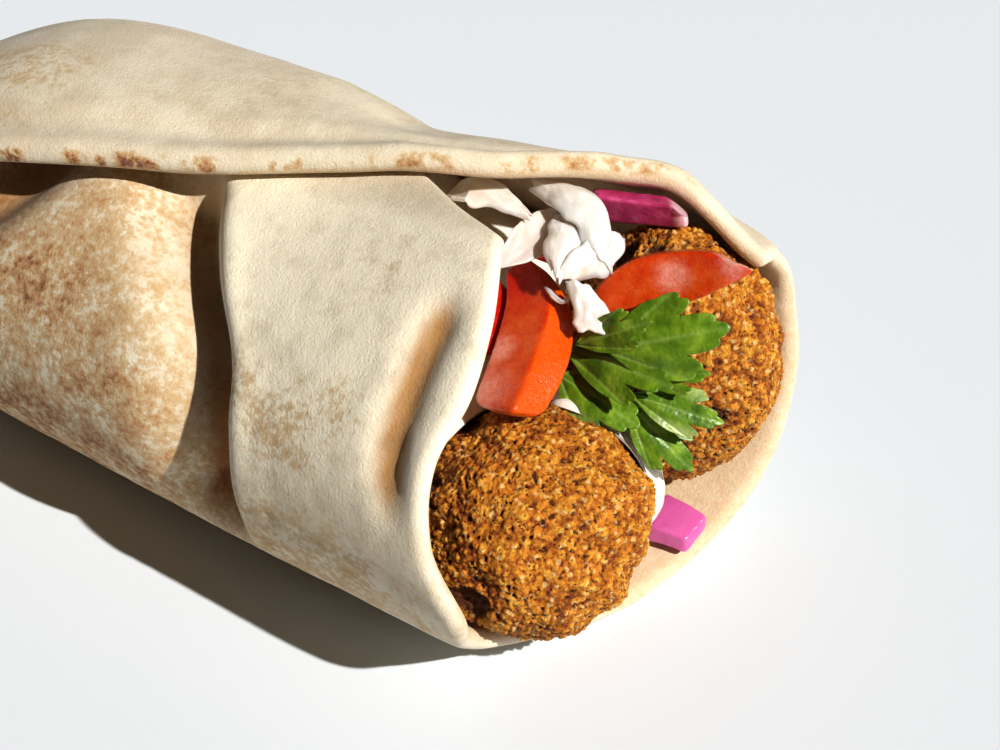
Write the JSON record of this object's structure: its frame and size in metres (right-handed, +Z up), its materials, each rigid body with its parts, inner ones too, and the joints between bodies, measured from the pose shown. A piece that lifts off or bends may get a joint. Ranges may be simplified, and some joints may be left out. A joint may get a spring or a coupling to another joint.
{
  "type": "falafel pita",
  "caption": "Thin flatbread rolled round falafel, white sauce, tomato, shredded cabbage and parsley, open at the mouth and closed at the tail, lying on its side",
  "frame": {"origin": "the middle of the flat strip on the underside that the roll rests on, half way along the roll", "axes": "+X along the roll from the closed tail to the open mouth, +Y towards the far side, +Z up from the table"},
  "size_m": [0.1859, 0.0886, 0.0699],
  "materials": {
    "flatbread": "soft floury baked crust with toasted spots, matte",
    "falafel": "rough fried crumb, golden brown, matte with small oily glints",
    "white_sauce": "smooth creamy white sauce, soft gloss",
    "tomato": "wet cut tomato flesh and glossy skin",
    "white_cabbage": "moist white shreds, soft gloss",
    "red_cabbage": "pickled pink-magenta shreds, soft gloss",
    "parsley": "fresh green leaf, waxy sheen"
  },
  "bodies": {
    "root": {"pita": "flatbread", "falafel_front": "falafel", "falafel_rear": "falafel", "white_sauce": "white_sauce", "tomato_front": "tomato", "tomato_back": "tomato", "tomato_small": "tomato", "tomato_rear": "tomato", "white_cabbage_left": "white_cabbage", "white_cabbage_top": "white_cabbage", "white_cabbage_inner": "white_cabbage", "white_cabbage_tongue": "white_cabbage", "white_cabbage_right": "white_cabbage", "white_cabbage_low": "white_cabbage", "red_cabbage_top": "red_cabbage", "red_cabbage_low": "red_cabbage", "parsley_1": "parsley", "parsley_2": "parsley", "parsley_3": "parsley", "parsley_4": "parsley", "parsley_5": "parsley", "parsley_6": "parsley", "parsley_7": "parsley"}
  },
  "joints": []
}
